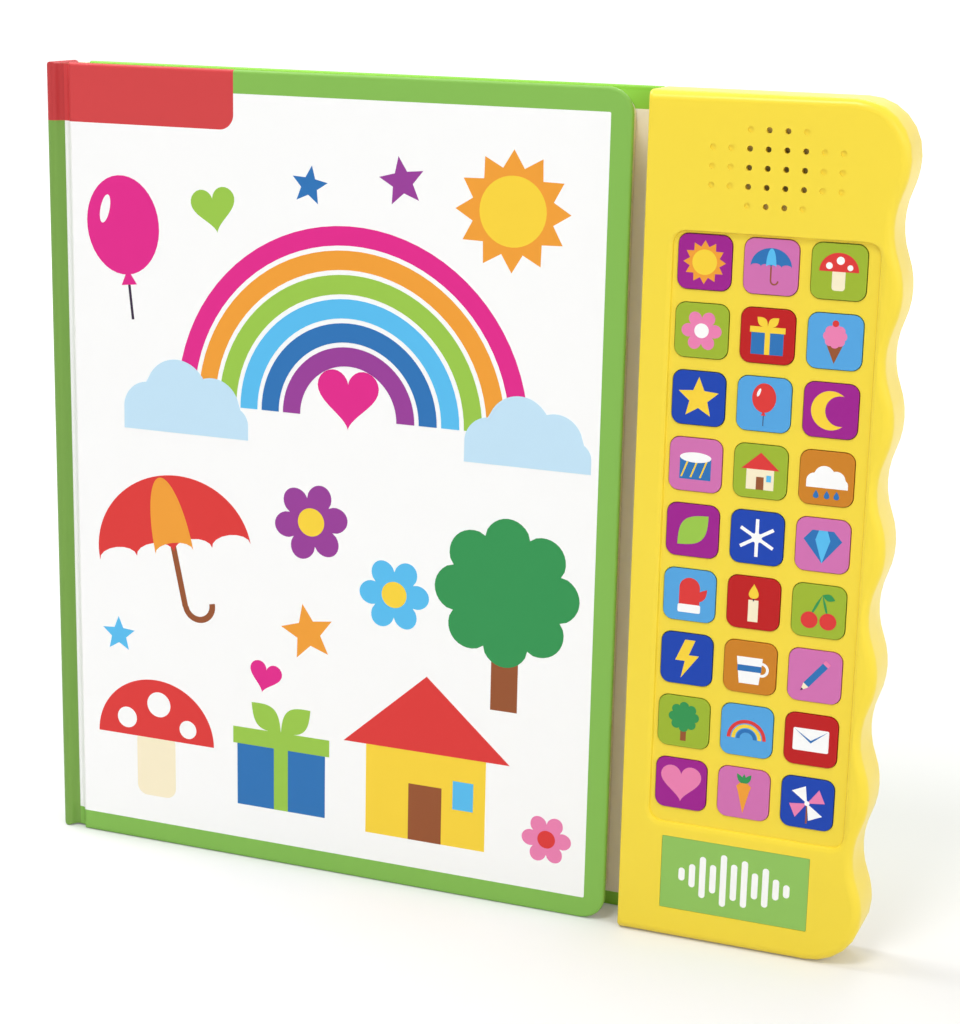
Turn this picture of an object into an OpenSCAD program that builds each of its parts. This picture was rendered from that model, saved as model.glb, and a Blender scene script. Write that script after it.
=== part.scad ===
// A sound book: a hardback with a moulded sound module fixed along the fore edge of its back cover.
// The book stands upright on its lower edges and faces -Y. The origin is under its middle.
// Inside upright() the same book is drawn lying flat: X runs from the spine to the module,
// Y up the page, and Z out of the front cover, whose outer face is at Z = 0.

/* [Book] */
// Height of the covers and of the module
book_h = 267; // [240:1:300]
// Width from the back of the spine to the fore edge of the front cover
cover_w = 202.3; // [180:0.1:230]
// Thickness of the book over its two covers
book_t = 16; // [14:0.5:20]
// Thickness of a wrapped cover board
board_t = 2.5; // [2:0.1:3]
// Thickness of the spine board
spine_t = 3.7; // [3:0.1:4.5]
// Rounding of the wrapped board edges
board_edge_r = 0.9; // [0.5:0.1:1]
// Rounding of the spine's edges
spine_edge_r = 1.6; // [0.9:0.1:1.7]
// Corner radius at the fore edge of the front cover
cover_corner_r = 8; // [4:0.5:12]
// Width of the hinge groove between the spine and a cover board
groove_w = 4.6; // [4:0.1:6]
// Thickness of the covering in the groove
covering_t = 0.5; // [0.4:0.1:0.8]
// Height of a hinge line over the cover's outer face
hinge_rise = 0.15; // [0.1:0.05:0.3]
// How far the covers stand past the pages
page_inset = 3; // [2:0.5:5]
// Corner radius of the pages at the fore edge
page_corner_r = 6; // [3:0.5:10]
// Thickness of a lining sheet
lining_t = 0.25; // [0.2:0.05:0.4]
// How far the lining stays inside the edge of a cover
lining_inset = 1.4; // [1:0.1:3]
// How far the back cover reaches in under the module
tongue_l = 10; // [6:0.5:12]
// Distance of the tongue from the top and bottom edges
tongue_inset = 12; // [8:1:20]

/* [Module] */
// Gap between the front cover and the module
module_gap = 5.3; // [4.5:0.1:7]
// Width of the module at the crests of its wavy edge
module_w = 78.7; // [74:0.1:90]
// How far the module stands out past the front cover
module_proud = 3; // [2.5:0.1:4]
// Wall thickness of the housing
wall = 2; // [1.6:0.1:2.2]
// Rounding of the front edge
front_fillet = 3; // [2:0.1:3.4]
// Rounding of the rear edge
rear_fillet = 1; // [0.5:0.1:1.5]
// Corner radius at the outer corners
corner_r = 16.8; // [14:0.1:19]
// Corner radius beside the book
near_corner_r = 1; // [0.6:0.1:1.5]
// Number of crests on the wavy edge
crests = 7; // [5:1:8]
// Depth of the waves
wave_depth = 3.7; // [2:0.1:4]
// Height of the parting line over the back
parting_h = 8; // [7:0.5:9]
// Height and thickness of the locating lip on the rear housing
lip = 1.2; // [1:0.1:1.5]

/* [Keys] */
// Rows of keys
key_rows = 9; // [6:1:9]
// Columns of keys
key_cols = 3; // [2:1:3]
// Distance of the keys from the module's edge beside the book
key_left = 11.2; // [10.5:0.1:14]
// Distance of the keys from the crests of the wavy edge
key_right = 10.6; // [10.4:0.1:14]
// Distance of the keys from the top
key_top = 41.7; // [41:0.1:46]
// Distance of the keys from the bottom
key_bottom = 44.1; // [43:0.1:48]
// Space between the columns
key_gap_x = 3.85; // [3:0.05:6]
// Space between the rows
key_gap_y = 4.2; // [3:0.05:6]
// Corner radius of a key
key_corner_r = 3; // [1:0.1:4]
// Travel of a key
key_travel = 0.8; // [0.4:0.1:1]
// How far a key stands out of the window's floor
key_proud = 0.5; // [0.2:0.1:0.8]
// Gap around a key
key_clearance = 0.25; // [0.2:0.05:0.4]
// Depth of the window's floor below the module's front
window_depth = 1.3; // [1:0.1:1.6]
// Thickness of the panel that guides the keys
panel_t = 1.6; // [1.4:0.1:2]
// Window margin beside the first column
window_left = 1.6; // [1:0.1:2]
// Window margin beside the last column
window_right = 3.7; // [3:0.1:4]
// Window margin over the first row
window_top = 0.8; // [0.5:0.1:1.5]
// Window margin under the last row
window_bottom = 5; // [1:0.1:5.5]
// Corner radius of the window
window_r = 4; // [2:0.1:6]
// Height of the window's rounded lip
window_rim = 1.2; // [0.8:0.1:1.3]
// Width of the window's rounded lip
window_lip = 2; // [1.2:0.1:2.4]
// Width of the lip along the window's top edge
window_lip_top = 0.6; // [0.4:0.1:1.2]

/* [Speaker and label] */
// Diameter of the speaker
speaker_d = 32; // [28:0.5:33]
// Distance of the speaker's centre from the top
speaker_y = 21.3; // [20.5:0.1:23]
// Distance of the speaker's centre from the module's middle, away from the book
speaker_shift = 0.65; // [0:0.05:2]
// Spacing of the grille holes
grille_pitch = 5.55; // [5:0.05:6]
// Diameter of a grille hole
grille_d = 1.8; // [1.5:0.1:2.5]
// Depth of the blind dimples around the grille
dimple_depth = 0.4; // [0.2:0.1:0.6]
// Distance of the label from the module's edge beside the book
label_left = 14.4; // [12:0.1:18]
// Distance of the label from the crests of the wavy edge
label_right = 16.7; // [14:0.1:20]
// Height of the label
label_h = 24.2; // [20:0.1:26]
// Thickness of the label
label_t = 0.3; // [0.2:0.05:0.5]
// How far the label lies below the module's front
label_sink = 0.1; // [0:0.05:0.2]
// Distance of the label's lower edge from the bottom
label_y = 10.3; // [8:0.1:13]

/* [Batteries] */
// Diameter of a battery
cell_d = 10.5; // [10:0.1:10.5]
// Spacing of the two batteries
cell_pitch = 12; // [11.6:0.1:13]
// Distance of the lower battery's centre from the bottom
cell_y = 16; // [15:0.1:17]
// Distance of the battery well from the module's sides
well_side = 14.05; // [14:0.05:15]
// Room for a coil spring at a battery's end
spring_room = 5; // [4:0.1:6]
// Thickness of the battery well's walls
well_wall = 1.2; // [1:0.1:1.5]
// Thickness of the battery door
door_t = 1.6; // [1.2:0.1:1.8]
// Width of the ledge that the door lies on
door_ledge = 1.5; // [1:0.1:2]

/* [Fasteners] */
// Radius of a screw's shank
shank_r = 1.1; // [1:0.05:1.3]
// Radius of a screw's head
head_r = 2.1; // [1.9:0.05:2.3]
// Height of a screw's head
head_h = 1.6; // [1.2:0.1:2]
// Wall of a screw boss
boss_wall = 1.4; // [1:0.1:1.5]

/* [Hidden] */
$fn = 48;
slip = 0.1;       // gap between pieces that slide on or lie in each other
swing_gap = 0.3;  // gap round a hinge line
eps = 0.01;
arc_steps = 6;    // segments of each arc in an outline
cut_r = 0.3;      // corner rounding of cut board and paper
nook_r = 0.5;     // corner rounding of pockets
plate_r = 1;      // corner rounding of ribs and plates

overall_w = cover_w + module_gap + module_w;
mid_z = (module_proud - book_t) / 2;

hinge_x = spine_t + groove_w / 2;
groove_r = groove_w / 2;
board_x = hinge_x + groove_r + swing_gap;
back_inner_z = board_t - book_t;

near_x = cover_w + module_gap;
far_x = near_x + module_w;
middle_x = near_x + module_w / 2;
tongue_lo = [near_x, tongue_inset];
tongue_hi = [near_x + tongue_l, book_h - tongue_inset];
parting_z = parting_h - book_t;
roof_z = module_proud - wall;
floor_z = wall - book_t;

wave_pitch = (book_h - 2 * corner_r) / (crests - 1);
wave_r = (pow(wave_pitch / 4, 2) + pow(wave_depth / 2, 2)) / wave_depth;
wave_angle = asin(wave_pitch / 4 / wave_r);

window_z = module_proud - window_depth;
panel_z = window_z - panel_t;
key_top_z = window_z + key_proud;
flange_reach = 0.8;
flange_t = 0.8;
flange_z = panel_z - slip;
key_under_z = flange_z - flange_t;
key_size = [
    (module_w - key_left - key_right - (key_cols - 1) * key_gap_x) / key_cols,
    (book_h - key_top - key_bottom - (key_rows - 1) * key_gap_y) / key_rows
];
key_pitch = key_size + [key_gap_x, key_gap_y];
keys_lo = [near_x + key_left, key_bottom];
keys_hi = [far_x - key_right, book_h - key_top];
window_lo = keys_lo - [window_left, window_bottom];
window_hi = keys_hi + [window_right, window_top];

sheet_t = 1;
dome_rest = 1.7;
dome_h = key_travel + dome_rest;
dome_r = min(key_size) * 0.37;
dome_top_r = min(key_size) * 0.25;
sheet_z = key_under_z - slip - dome_h - sheet_t;
pcb_t = 1.6;
pcb_z = sheet_z - pcb_t;

boss_r = shank_r + boss_wall;
boss_gap = 0.4;
boss_x = [
    near_x + wall + slip + lip + boss_gap + boss_r,
    far_x - wall - slip - lip - boss_gap - boss_r
];
boss_y = [for (k = [0 : 2 : crests - 1]) corner_r + k * wave_pitch];
thread_gap = 0.05;
bore_roof = 1.5;
head_gap = 0.25;
column_r = head_r + head_gap + boss_wall;
seat_h = 3;
head_seat_z = floor_z + seat_h;
screw_l = 9;
pcb_margin = 0.8;
pcb_lo = [boss_x[0] + boss_r + boss_gap, keys_lo.y - flange_reach - pcb_margin];
pcb_hi = [boss_x[1] - boss_r - boss_gap, keys_hi.y + flange_reach + pcb_margin];
post_r = 2;
post_x = [keys_lo.x + key_size.x / 2, keys_hi.x - key_size.x / 2];
post_y = [keys_lo.y + key_size.y, (keys_lo.y + keys_hi.y) / 2, keys_hi.y - key_size.y];
chip_r = 6;
chip_h = 1.8;
page_gap = 0.25;

speaker_at = [middle_x + speaker_shift, book_h - speaker_y];
speaker_r = speaker_d / 2;
speaker_lip = 3;
speaker_depth = 4.4;
speaker_plate = 0.8;
cone_t = 0.4;
magnet_r = speaker_r * 0.56;
magnet_h = 4;
ring_gap = 0.2;
ring_wall = 1;
ring_h = 3.5;
grille_rows = [4, 8, 8, 8, 4];
grille_open = [2, 4, 4, 4, 2];
label_lo = [near_x + label_left, label_y];
label_hi = [far_x - label_right, label_y + label_h];
label_z = module_proud - label_sink - label_t;

plate_t = 0.5;
plate_w = 9;
spring_wire_r = 0.35;
spring_turns = 4;
nub_h = 1;
nub_r = 1.9;
cell_gap = 0.3;
well_lo = [near_x + well_side, cell_y - cell_pitch / 2 - cell_gap];
well_hi = [far_x - well_side, cell_y + cell_pitch * 3 / 2 + cell_gap];
cell_x = well_lo.x + plate_t + spring_room;
cell_l = well_hi.x - plate_t - slip - cell_x;
cell_z = floor_z + cell_gap + cell_d / 2;
well_z = cell_z + cell_d / 2 + cell_gap;
door_gap = 0.25;
door_z = door_t - book_t;
door_pad = 1.2;
ear_wall = 1.6;
ear_floor = 1.5;
ear_reach = 2.2;
ear_boss_h = 5.5;
ear_boss_roof = 1;
ear_r = head_r + head_gap + ear_wall;
ear_t = head_h + slip + ear_floor;
ear_at = [middle_x, well_hi.y + door_ledge + ear_reach];
ear_z = ear_t - book_t;
door_screw_l = ear_floor + ear_boss_h * 0.55;
coil_base_r = 3.6;
coil_tip_r = 2;
lead_r = 0.6;
lead_sides = 8;
lead_gap = 3;

key_names = [for (r = [1 : key_rows]) for (c = [1 : key_cols]) str("key_", r, "_", c)];

// Key colours, row by row, as indices into the palette
key_palette = ["#a52aa5", "#e373cd", "#96c33c", "#dc2328", "#55aff0", "#2350c3", "#e1822c"];
key_colours = [
    [0, 1, 2], [2, 3, 4], [5, 4, 0], [1, 2, 6], [0, 5, 1], [4, 3, 2], [5, 6, 1], [2, 4, 3], [0, 1, 5]
];

// Stands the flat drawing up, facing -Y, with its middle over the origin
module upright() {
    translate([-overall_w / 2, mid_z, 0]) rotate([90, 0, 0]) children();
}

// Points of an arc without its last one, so that arcs join end to end
function arc(c, r, a0, a1) = [
    for (i = [0 : arc_steps - 1])
        let (a = a0 + (a1 - a0) * i / arc_steps) c + r * [cos(a), sin(a)]
];

// Outline of a rectangle from lo to hi with its left and right corners rounded
function rounded_box(lo, hi, r_left, r_right) = concat(
    arc([hi.x - r_right, lo.y + r_right], r_right, -90, 0),
    [[hi.x, lo.y + r_right]],
    arc([hi.x - r_right, hi.y - r_right], r_right, 0, 90),
    [[hi.x - r_right, hi.y]],
    arc([lo.x + r_left, hi.y - r_left], r_left, 90, 180),
    [[lo.x, hi.y - r_left]],
    arc([lo.x + r_left, lo.y + r_left], r_left, 180, 270),
    [[lo.x + r_left, lo.y]]
);

// Outline of the module moved inwards by e, and by e_near at the edge beside the book
function crest_centre(k) = [far_x - wave_r, corner_r + k * wave_pitch];
function valley_centre(k) = [far_x - wave_depth + wave_r, corner_r + (k + 0.5) * wave_pitch];
function module_outline(e, e_near) =
    let (r = near_corner_r, x = near_x + e_near + r, top = book_h - e - r)
    concat(
        arc([x, e + r], r, 180, 270),
        [[x, e]],
        arc([far_x - corner_r, corner_r], corner_r - e, -90, 0),
        [for (k = [0 : crests - 2]) each concat(
            arc(crest_centre(k), wave_r - e, k == 0 ? 0 : -wave_angle, wave_angle),
            arc(valley_centre(k), wave_r + e, 180 + wave_angle, 180 - wave_angle)
        )],
        arc(crest_centre(crests - 1), wave_r - e, -wave_angle, 0),
        arc([far_x - corner_r, book_h - corner_r], corner_r - e, 0, 90),
        [[far_x - corner_r, book_h - e]],
        arc([x, top], r, 90, 180),
        [[x - r, top]]
    );

// Values with the first and the last one carried on past the ends, in line with their neighbours
function carried_on(v) =
    let (last = len(v) - 1)
    concat([2 * v[0] - v[1]], [for (i = [1 : last - 1]) v[i]], [2 * v[last] - v[last - 1]]);

// Solid through outlines that have the same number of points, each at its own height. The skin is
// carried on past both ends and cut there, so that each end is one flat face.
module loft(rings, heights) {
    n = len(rings[0]);
    last = len(rings) - 1;
    outlines = carried_on(rings);
    levels = carried_on(heights);
    points = [for (i = [0 : last]) for (p = outlines[i]) [p.x, p.y, levels[i]]];
    sides = [
        for (i = [0 : last - 1]) for (j = [0 : n - 1])
            let (a = i * n + j, b = i * n + (j + 1) % n)
            each [[a, b + n, b], [a, a + n, b + n]]
    ];
    intersection() {
        polyhedron(points, concat(
            [[for (j = [0 : n - 1]) j]],
            sides,
            [[for (j = [n - 1 : -1 : 0]) last * n + j]]
        ), convexity = 10);
        translate([-1, -1, heights[0]]) cube([overall_w + 2, book_h + 2, heights[last] - heights[0]]);
    }
}

// Wrapped board from lo to hi with rounded edges, its outer face at height 0 and its inner face below
module board(lo, hi, t, edge_r, r_right) {
    rim = [for (a = [0, 30, 60, 90]) edge_r * [1 - sin(a), 1 - cos(a)]];
    levels = concat(
        [for (s = rim) [s[0], s[1] - t]],
        [for (i = [len(rim) - 1 : -1 : 0]) [rim[i][0], -rim[i][1]]]
    );
    loft(
        [for (s = levels) let (e = [s[0], s[0]])
            rounded_box(lo + e, hi - e, cut_r, max(cut_r, r_right - s[0]))],
        [for (s = levels) s[1]]
    );
}

// Flat plate from lo to hi between two heights
module slab(lo, hi, z0, z1, r) {
    translate([0, 0, z0]) linear_extrude(z1 - z0) polygon(rounded_box(lo, hi, r, r));
}

// Upright cylinder between two heights
module post(at, r, z0, z1) {
    translate([at.x, at.y, z0]) cylinder(r = r, h = z1 - z0);
}

// Round wire along points, its rings square to the path
function unit(v) = v / norm(v);
function heading(path, i) = unit(path[min(i + 1, len(path) - 1)] - path[max(i - 1, 0)]);
module wire(path, r, side) {
    n = lead_sides;
    last = len(path) - 1;
    points = [
        for (i = [0 : last])
            let (t = heading(path, i), u = unit(cross(t, side)), v = cross(u, t))
            for (j = [0 : n - 1]) path[i] + r * (cos(360 * j / n) * u + sin(360 * j / n) * v)
    ];
    polyhedron(points, concat(
        [[for (j = [n - 1 : -1 : 0]) j]],
        [for (i = [0 : last - 1]) for (j = [0 : n - 1])
            let (a = i * n + j, b = i * n + (j + 1) % n) each [[a, b, b + n], [a, b + n, a + n]]],
        [[for (j = [0 : n - 1]) last * n + j]]
    ), convexity = 10);
}

// Does something at each of the housing's screws
module at_screws() {
    for (x = boss_x) for (y = boss_y) translate([x, y, 0]) children();
}

// Lower left corner of the key in row r, counted from the top, and column c
function key_at(r, c) = [keys_lo.x + (c - 1) * key_pitch.x, keys_lo.y + (key_rows - r) * key_pitch.y];

// Plate over a key's place, wider by g all round
module key_plate(r, c, g, z0, z1) {
    grow = [g, g];
    slab(key_at(r, c) - grow, key_at(r, c) + key_size + grow, z0, z1, key_corner_r + g);
}

module front_cover() {
    color("#8bbc5d") upright()
        board([board_x, 0], [cover_w, book_h], board_t, board_edge_r, cover_corner_r);
}

module front_pastedown() {
    e = [lining_inset, lining_inset];
    lo = [board_x, 0] + e;
    hi = [cover_w, book_h] - e;
    color("#f4f1e6") upright()
        translate([0, 0, -board_t - lining_t]) linear_extrude(lining_t)
            polygon(rounded_box(lo, hi, cut_r, cover_corner_r - lining_inset));
}

module spine() {
    color("#7daf4b") upright()
        translate([0, 0, -book_t]) rotate([0, -90, 0])
            board([0, 0], [book_t, book_h], spine_t, spine_edge_r, 0);
}

// Covering pressed into the groove beside the front edge of the spine, round the hinge line
module groove_covering() {
    translate([hinge_x, book_h - lining_inset, hinge_rise]) rotate([90, 0, 0])
        linear_extrude(book_h - 2 * lining_inset) difference() {
            intersection() {
                union() {
                    circle(groove_r);
                    translate([-groove_r, -groove_r]) square([groove_r, groove_r]);
                }
                translate([-groove_r, -groove_r]) square([groove_w, groove_r - hinge_rise]);
            }
            circle(groove_r - covering_t);
        }
}

module front_joint() {
    color("#728f55") upright() groove_covering();
}

module rear_joint() {
    color("#728f55") upright() translate([0, 0, -book_t]) mirror([0, 0, 1]) groove_covering();
}

module page_block() {
    z0 = back_inner_z + lining_t + page_gap;
    z1 = -board_t - lining_t - page_gap;
    lo = [spine_t, page_inset];
    hi = [cover_w - page_inset, book_h - page_inset];
    color("#f2efe4") upright()
        translate([0, 0, z0]) linear_extrude(z1 - z0) polygon(rounded_box(lo, hi, cut_r, page_corner_r));
}

module back_cover() {
    lo = [board_x, 0];
    hi = [near_x - swing_gap, book_h];
    root_l = 3 * board_edge_r;
    color("#8bbc5d") upright() difference() {
        union() {
            translate([0, 0, -book_t]) mirror([0, 0, 1]) board(lo, hi, board_t, board_edge_r, 0);
            slab([hi.x - root_l, tongue_lo.y], tongue_hi, -book_t, back_inner_z, nook_r);
        }
        for (y = boss_y) post([boss_x[0], y], head_r + 2 * head_gap, -book_t - eps, back_inner_z + eps);
    }
}

module rear_pastedown() {
    lo = [board_x + lining_inset, lining_inset];
    hi = [near_x - swing_gap - lining_inset, book_h - lining_inset];
    color("#f4f1e6") upright() slab(lo, hi, back_inner_z, back_inner_z + lining_t, cut_r);
}

// Outer form of the front half, from the parting line to the rounded front edge
module front_form() {
    turns = [0, 22.5, 45, 67.5, 90];
    insets = concat([0], [for (a = turns) front_fillet * (1 - cos(a))]);
    heights = concat([parting_z], [for (a = turns) module_proud - front_fillet * (1 - sin(a))]);
    loft([for (e = insets) module_outline(e, e / 3)], heights);
}

// Outer form of the rear half, from the rounded rear edge to the parting line
module rear_form() {
    turns = [0, 45, 90];
    insets = concat([for (a = turns) rear_fillet * (1 - sin(a))], [0]);
    heights = concat([for (a = turns) rear_fillet * (1 - cos(a)) - book_t], [parting_z]);
    loft([for (e = insets) module_outline(e, e / 3)], heights);
}

// Plate in the form of the module's outline, moved inwards by e
module outline_plate(e, z0, z1) {
    translate([0, 0, z0]) linear_extrude(z1 - z0) polygon(module_outline(e, e));
}

// Cut for the key window, wider towards the front where its rim is rounded
module window_cut() {
    turns = [0, 30, 60, 90];
    grow = concat([0], [for (a = turns) window_lip * (1 - cos(a))], [window_lip]);
    heights = concat(
        [window_z],
        [for (a = turns) module_proud - window_rim * (1 - sin(a))],
        [module_proud + 1]
    );
    top_share = window_lip_top / window_lip;
    rims = [
        for (g = grow)
            rounded_box(window_lo - [g, g], window_hi + [g, g * top_share], window_r + g, window_r + g)
    ];
    loft(rims, heights);
}

// The holes of one grille row: the open ones in the middle, the blind ones beside them
module grille_row(row) {
    n = grille_rows[row];
    shut = (n - grille_open[row]) / 2;
    y = speaker_at.y + ((len(grille_rows) - 1) / 2 - row) * grille_pitch;
    for (i = [0 : n - 1]) {
        at = [speaker_at.x + (i - (n - 1) / 2) * grille_pitch, y];
        blind = i < shut || i >= n - shut;
        post(at, grille_d / 2, blind ? module_proud - dimple_depth : roof_z - eps, module_proud + eps);
    }
}

module front_housing() {
    margin = [window_lip, window_lip];
    color("#f7dc49") upright() difference() {
        union() {
            difference() {
                front_form();
                outline_plate(wall, parting_z - eps, roof_z);
            }
            slab(window_lo - margin, window_hi + margin, panel_z, roof_z + eps, window_r);
            at_screws() post([0, 0], boss_r, parting_z, roof_z + eps);
            difference() {
                post(speaker_at, speaker_r + ring_gap + ring_wall, roof_z - ring_h, roof_z + eps);
                post(speaker_at, speaker_r + ring_gap, roof_z - ring_h - eps, roof_z);
            }
        }
        window_cut();
        for (r = [1 : key_rows]) for (c = [1 : key_cols])
            key_plate(r, c, key_clearance, panel_z - eps, window_z + eps);
        for (row = [0 : len(grille_rows) - 1]) grille_row(row);
        slab(label_lo - [slip, slip], label_hi + [slip, slip], label_z, module_proud + eps, cut_r + slip);
        at_screws() post([0, 0], shank_r + thread_gap, parting_z - eps, roof_z - bore_roof);
    }
}

// Seat of the battery door: the plate's rebate and the deeper one under its ear
module door_seat(g, z_plate, z_ear) {
    reach = [door_ledge - g, door_ledge - g];
    slab(well_lo - reach, well_hi + reach, -book_t, z_plate, plate_r);
    post(ear_at, ear_r - g, -book_t, z_ear);
}

module rear_housing() {
    tongue_roof = back_inner_z + wall;
    well_edge = [well_wall, well_wall];
    color("#f2d445") upright() difference() {
        union() {
            difference() {
                rear_form();
                outline_plate(wall, floor_z, parting_z + eps);
            }
            difference() {
                union() {
                    outline_plate(wall - lip / 2, parting_z - lip, parting_z);
                    outline_plate(wall + slip, parting_z - eps, parting_z + lip);
                }
                outline_plate(wall + slip + lip, parting_z - lip - eps, parting_z + lip + eps);
            }
            slab(tongue_lo + [wall / 2, -wall], tongue_hi + [wall, wall],
                floor_z - eps, tongue_roof, plate_r);
            slab(well_lo - well_edge, well_hi + well_edge, floor_z - eps, well_z + well_wall, plate_r);
            translate([0, 0, eps]) door_seat(-door_pad, door_z + wall - eps, ear_z + wall);
            post(ear_at, boss_r, floor_z, ear_z + ear_boss_h);
            at_screws() post([0, 0], column_r, floor_z - eps, parting_z);
            for (x = post_x) for (y = post_y) post([x, y], post_r, floor_z - eps, pcb_z);
        }
        slab(tongue_lo - [wall, slip], tongue_hi + [slip, slip],
            -book_t - eps, back_inner_z + slip, nook_r);
        slab(well_lo, well_hi, -book_t - eps, well_z, nook_r);
        translate([0, 0, -eps]) door_seat(0, door_z + slip, ear_z + slip);
        post(ear_at, shank_r + thread_gap, ear_z, ear_z + ear_boss_h - ear_boss_roof);
        at_screws() {
            post([0, 0], shank_r + 2 * thread_gap, head_seat_z - eps, parting_z + eps);
            post([0, 0], head_r + head_gap, -book_t - eps, head_seat_z);
        }
    }
}

module front_label() {
    color("#91c35f") upright() slab(label_lo, label_hi, label_z, label_z + label_t, cut_r);
}

module battery_door() {
    color("#f2d445") upright() difference() {
        door_seat(door_gap, door_z, ear_z);
        post(ear_at, shank_r + 2 * thread_gap, -book_t - eps, ear_z + eps);
        post(ear_at, head_r + head_gap, -book_t - eps, head_h + slip - book_t);
    }
}

// Pan head screw with its head's seat at height 0 and a cross recess in the head
module screw(l) {
    slot_w = 0.7;
    difference() {
        union() {
            cylinder(r = shank_r, h = l);
            translate([0, 0, -head_h]) cylinder(r = head_r, h = head_h);
        }
        for (a = [0, 90]) rotate([0, 0, a])
            translate([-head_r * 0.6, -slot_w / 2, -head_h - eps]) cube([head_r * 1.2, slot_w, head_h / 2]);
    }
}

module battery_door_screw() {
    color("#b9bcc0") upright()
        translate([ear_at.x, ear_at.y, head_h + slip - book_t]) screw(door_screw_l);
}

module housing_screws() {
    color("#b9bcc0") upright() at_screws() translate([0, 0, head_seat_z]) screw(screw_l);
}

module keypad() {
    color("#d9d9d4") upright() {
        slab(pcb_lo + [slip, slip], pcb_hi - [slip, slip], sheet_z, sheet_z + sheet_t, plate_r);
        for (r = [1 : key_rows]) for (c = [1 : key_cols])
            translate(concat(key_at(r, c) + key_size / 2, [sheet_z + sheet_t - eps]))
                cylinder(r1 = dome_r, r2 = dome_top_r, h = dome_h + eps);
    }
}

module circuit_board() {
    color("#2f7d46") upright() slab(pcb_lo, pcb_hi, pcb_z, pcb_z + pcb_t, plate_r);
}

module sound_chip() {
    at = [middle_x, post_y[1] + key_pitch.y / 2];
    color("#1b1b1d") upright() translate([at.x, at.y, pcb_z]) mirror([0, 0, 1])
        cylinder(r1 = chip_r, r2 = chip_r * 0.6, h = chip_h);
}

module speaker_frame() {
    r = speaker_r;
    inner = r - speaker_lip;
    d = speaker_depth;
    color("#9a9da2") upright() translate([speaker_at.x, speaker_at.y, roof_z]) rotate_extrude()
        polygon([[inner, 0], [r, 0], [r, -1], [inner + 1, -1], [inner, -d], [0, -d],
            [0, speaker_plate - d], [inner - speaker_plate, speaker_plate - d], [inner, -1]]);
}

module speaker_cone() {
    r = speaker_r - speaker_lip - slip;
    dip = speaker_depth * 0.6;
    cap_r = r * 0.4;
    color("#3a3632") upright() translate([speaker_at.x, speaker_at.y, roof_z]) rotate_extrude()
        polygon([[r, -cone_t], [cap_r, -dip], [0, cone_t - dip], [0, 2 * cone_t - dip],
            [cap_r, cone_t - dip], [r, 0]]);
}

module speaker_magnet() {
    top_z = roof_z - speaker_depth;
    color("#55575a") upright() post(speaker_at, magnet_r, top_z - magnet_h, top_z);
}

module speaker_leads() {
    y0 = speaker_at.y - (magnet_r + speaker_r - speaker_lip) / 2;
    y1 = pcb_hi.y - lead_gap;
    z0 = roof_z - speaker_depth - lead_r;
    z1 = pcb_z - lead_r;
    bends = [[y0, z0], [y0 - 3, z0 - 2], [y0 - 6, z1 - 1], [y1 + 2, z1 - 0.5], [y1, z1]];
    color("#c8322d") upright() for (x = [-lead_gap, lead_gap])
        wire([for (p = bends) [speaker_at.x + x, p.x, p.y]], lead_r, [1, 0, 0]);
}

// One battery lying along X with its raised end to the right
module cell(y) {
    translate([cell_x, y, cell_z]) rotate([0, 90, 0]) {
        cylinder(r = cell_d / 2, h = cell_l - nub_h);
        translate([0, 0, cell_l - nub_h - eps]) cylinder(r = nub_r, h = nub_h + eps);
    }
}

// Turns a piece of the upper battery's side end for end about the middle of the well
module turned() {
    translate([middle_x, 0, 0]) mirror([1, 0, 0]) translate([-middle_x, 0, 0]) children();
}

module battery_upper() {
    color("#3d4a8c") upright() cell(cell_y + cell_pitch);
}

module battery_lower() {
    color("#3d4a8c") upright() turned() cell(cell_y);
}

// Tapered coil between the well's end and a battery
module coil(y) {
    start = well_lo.x + plate_t + slip + spring_wire_r;
    l = spring_room - 2 * (slip + spring_wire_r);
    steps = spring_turns * 12;
    path = [
        for (i = [0 : steps])
            let (s = i / steps, a = 360 * spring_turns * s, r = coil_base_r + (coil_tip_r - coil_base_r) * s)
            [start + l * s, y + r * cos(a), cell_z + r * sin(a)]
    ];
    wire(path, spring_wire_r, [1, 0, 0]);
}

module contact_springs() {
    color("#c9ccd0") upright() {
        coil(cell_y + cell_pitch);
        turned() coil(cell_y);
    }
}

// Contact plate against an end wall of the well
module contact_plate(x, y0, y1) {
    translate([x, y0, cell_z - plate_w / 2]) cube([plate_t, y1 - y0, plate_w]);
}

module contact_plates() {
    half = plate_w / 2;
    color("#c9ccd0") upright() {
        for (y = [cell_y, cell_y + cell_pitch]) contact_plate(well_lo.x, y - half, y + half);
        contact_plate(well_hi.x - plate_t, cell_y - half, cell_y + cell_pitch + half);
    }
}

module battery_leads() {
    x0 = well_lo.x + lead_gap;
    y0 = well_hi.y + well_wall + lead_r;
    y1 = pcb_lo.y + lead_gap;
    z0 = floor_z + lead_gap;
    z1 = pcb_z - lead_r;
    bends = [[y0, z0], [y0, z1 - 3], [y0 + 2, z1 - 1], [y1 - 2, z1 - 0.3], [y1, z1]];
    color("#26262a") upright() for (x = [0, lead_gap])
        wire([for (p = bends) [x0 + x, p.x, p.y]], lead_r, [1, 0, 0]);
}

module key(r, c) {
    colour = key_palette[key_colours[(r - 1) % len(key_colours)][(c - 1) % len(key_colours[0])]];
    color(colour) upright() {
        key_plate(r, c, 0, flange_z - eps, key_top_z);
        key_plate(r, c, flange_reach, key_under_z, flange_z);
    }
}

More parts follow.
